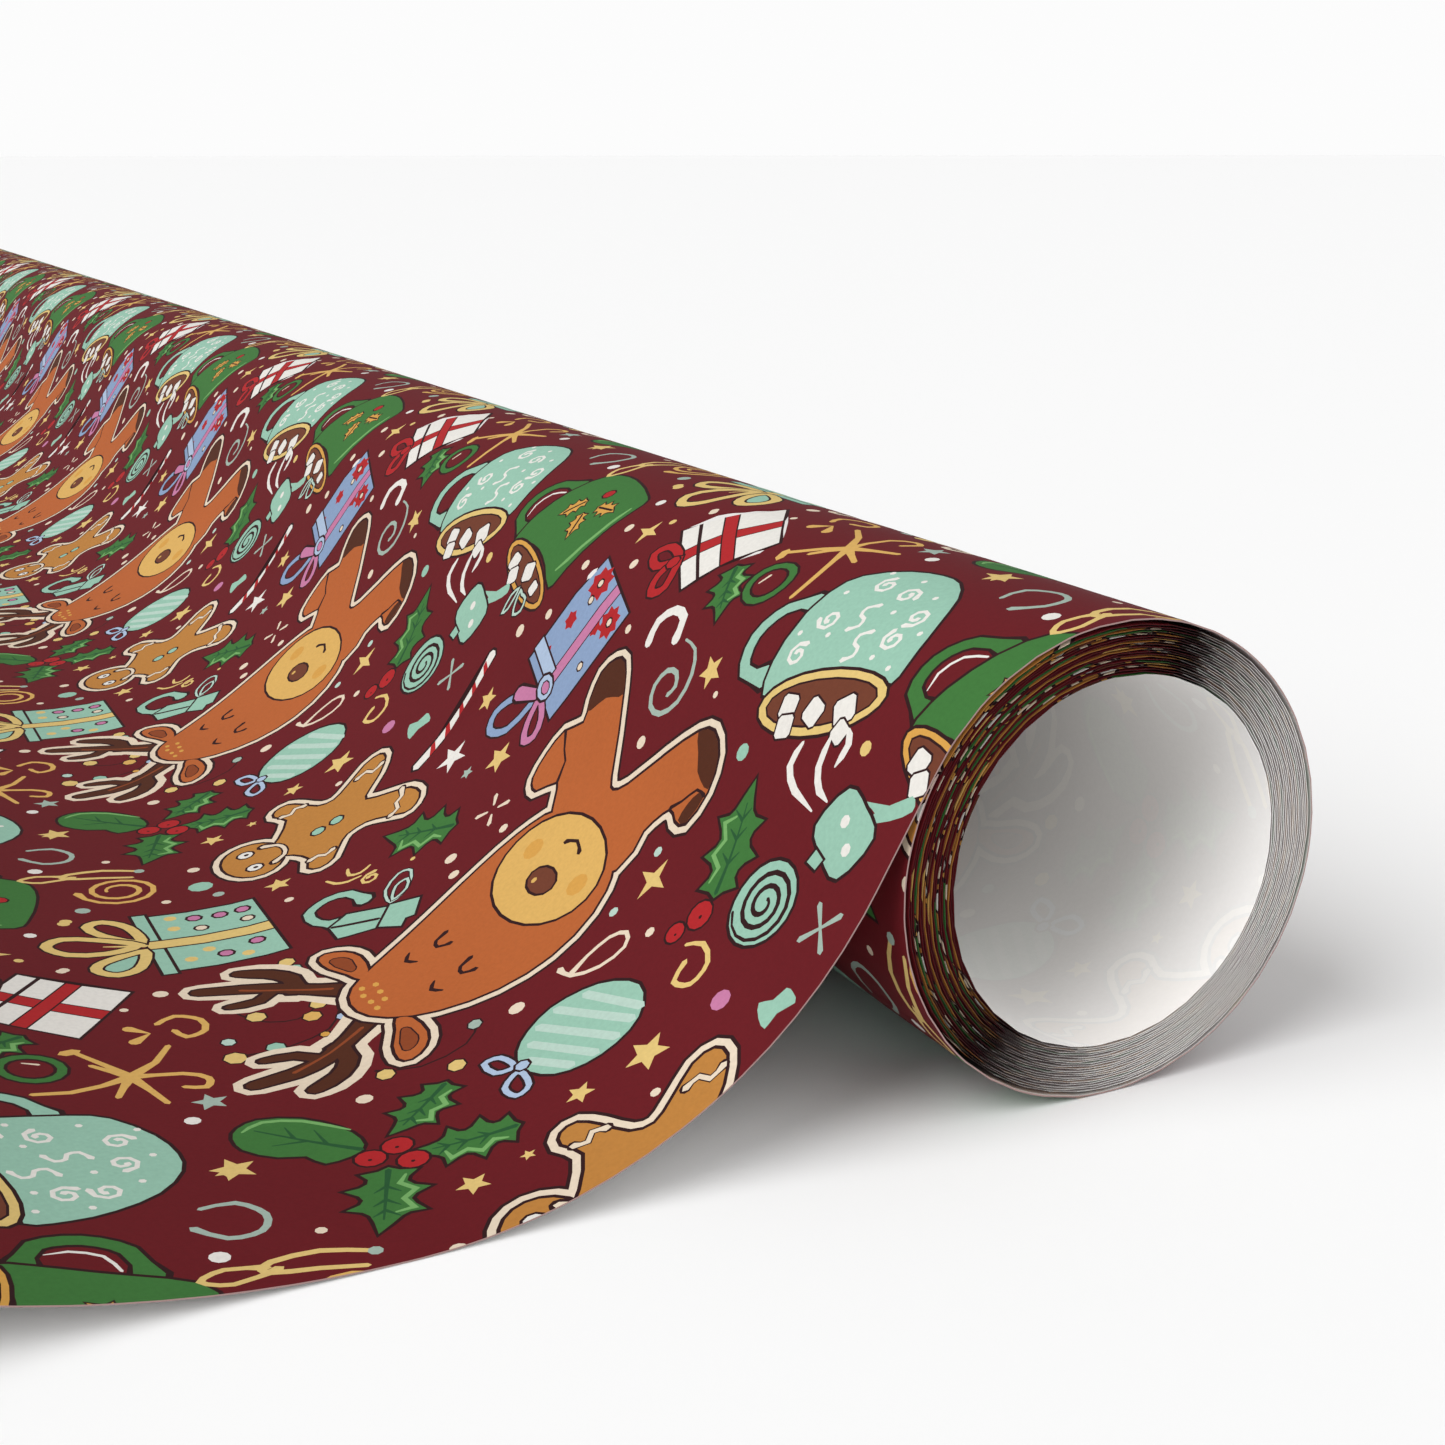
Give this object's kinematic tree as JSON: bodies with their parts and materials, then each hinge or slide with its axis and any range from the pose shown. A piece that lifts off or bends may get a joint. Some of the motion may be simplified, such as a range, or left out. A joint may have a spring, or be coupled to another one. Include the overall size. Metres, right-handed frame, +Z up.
{
  "type": "wrapping paper roll",
  "caption": "Coreless roll of printed gift wrap with an open bore, its loose end running off over the top and lying out on the surface in a soft wave.",
  "frame": {"origin": "middle of the bounding box's base, on the surface that the roll and its loose sheet lie on", "axes": "+Y along the roll's axis, which is the sheet's width; -X the way the loose sheet runs out; +Z up"},
  "size_m": [0.24, 0.762, 0.0378],
  "materials": {
    "printed_paper": "matte",
    "paper_back": "matte"
  },
  "bodies": {
    "loose_sheet": {"outer_turn": "printed_paper", "sheet_drop_upper": "printed_paper", "sheet_drop_lower": "printed_paper", "sheet_rise": "printed_paper", "sheet_crest": "printed_paper", "sheet_landing": "printed_paper"},
    "sheet_end_near": {"sheet_end_1": "printed_paper"},
    "sheet_end_middle": {"sheet_end_2": "printed_paper"},
    "sheet_end_far": {"sheet_end_3": "printed_paper"},
    "wound_roll": {"outer_windings": "printed_paper"},
    "middle_of_roll": {"middle_windings": "printed_paper"},
    "inside_of_roll": {"inner_windings": "printed_paper", "innermost_turn": "paper_back"}
  },
  "joints": [
    {"name": "roll_turn", "type": "hinge", "parent": "loose_sheet", "child": "wound_roll", "pos_m": [0.10113, 0, 0.01887], "axis": [0, 1, 0], "range_deg": [0, 350]},
    {"name": "middle_push_out", "type": "slide", "parent": "wound_roll", "child": "middle_of_roll", "axis": [0, -1, 0], "range_m": [0, 0.015]},
    {"name": "inside_push_out", "type": "slide", "parent": "middle_of_roll", "child": "inside_of_roll", "axis": [0, -1, 0], "range_m": [0, 0.015]},
    {"name": "end_lift", "type": "hinge", "parent": "loose_sheet", "child": "sheet_end_near", "pos_m": [-0.06019, 0, 0], "axis": [0, 1, 0], "range_deg": [0, 30]},
    {"name": "end_curl_middle", "type": "hinge", "parent": "sheet_end_near", "child": "sheet_end_middle", "pos_m": [-0.08019, 0, 0], "axis": [0, 1, 0], "range_deg": [0, 30]},
    {"name": "end_curl_far", "type": "hinge", "parent": "sheet_end_middle", "child": "sheet_end_far", "pos_m": [-0.10019, 0, 0], "axis": [0, 1, 0], "range_deg": [0, 30]}
  ],
  "couplings": [
    {"joint": "inside_push_out", "follows": "middle_push_out", "ratio": 1},
    {"joint": "end_curl_middle", "follows": "end_lift", "ratio": 1},
    {"joint": "end_curl_far", "follows": "end_lift", "ratio": 1}
  ]
}
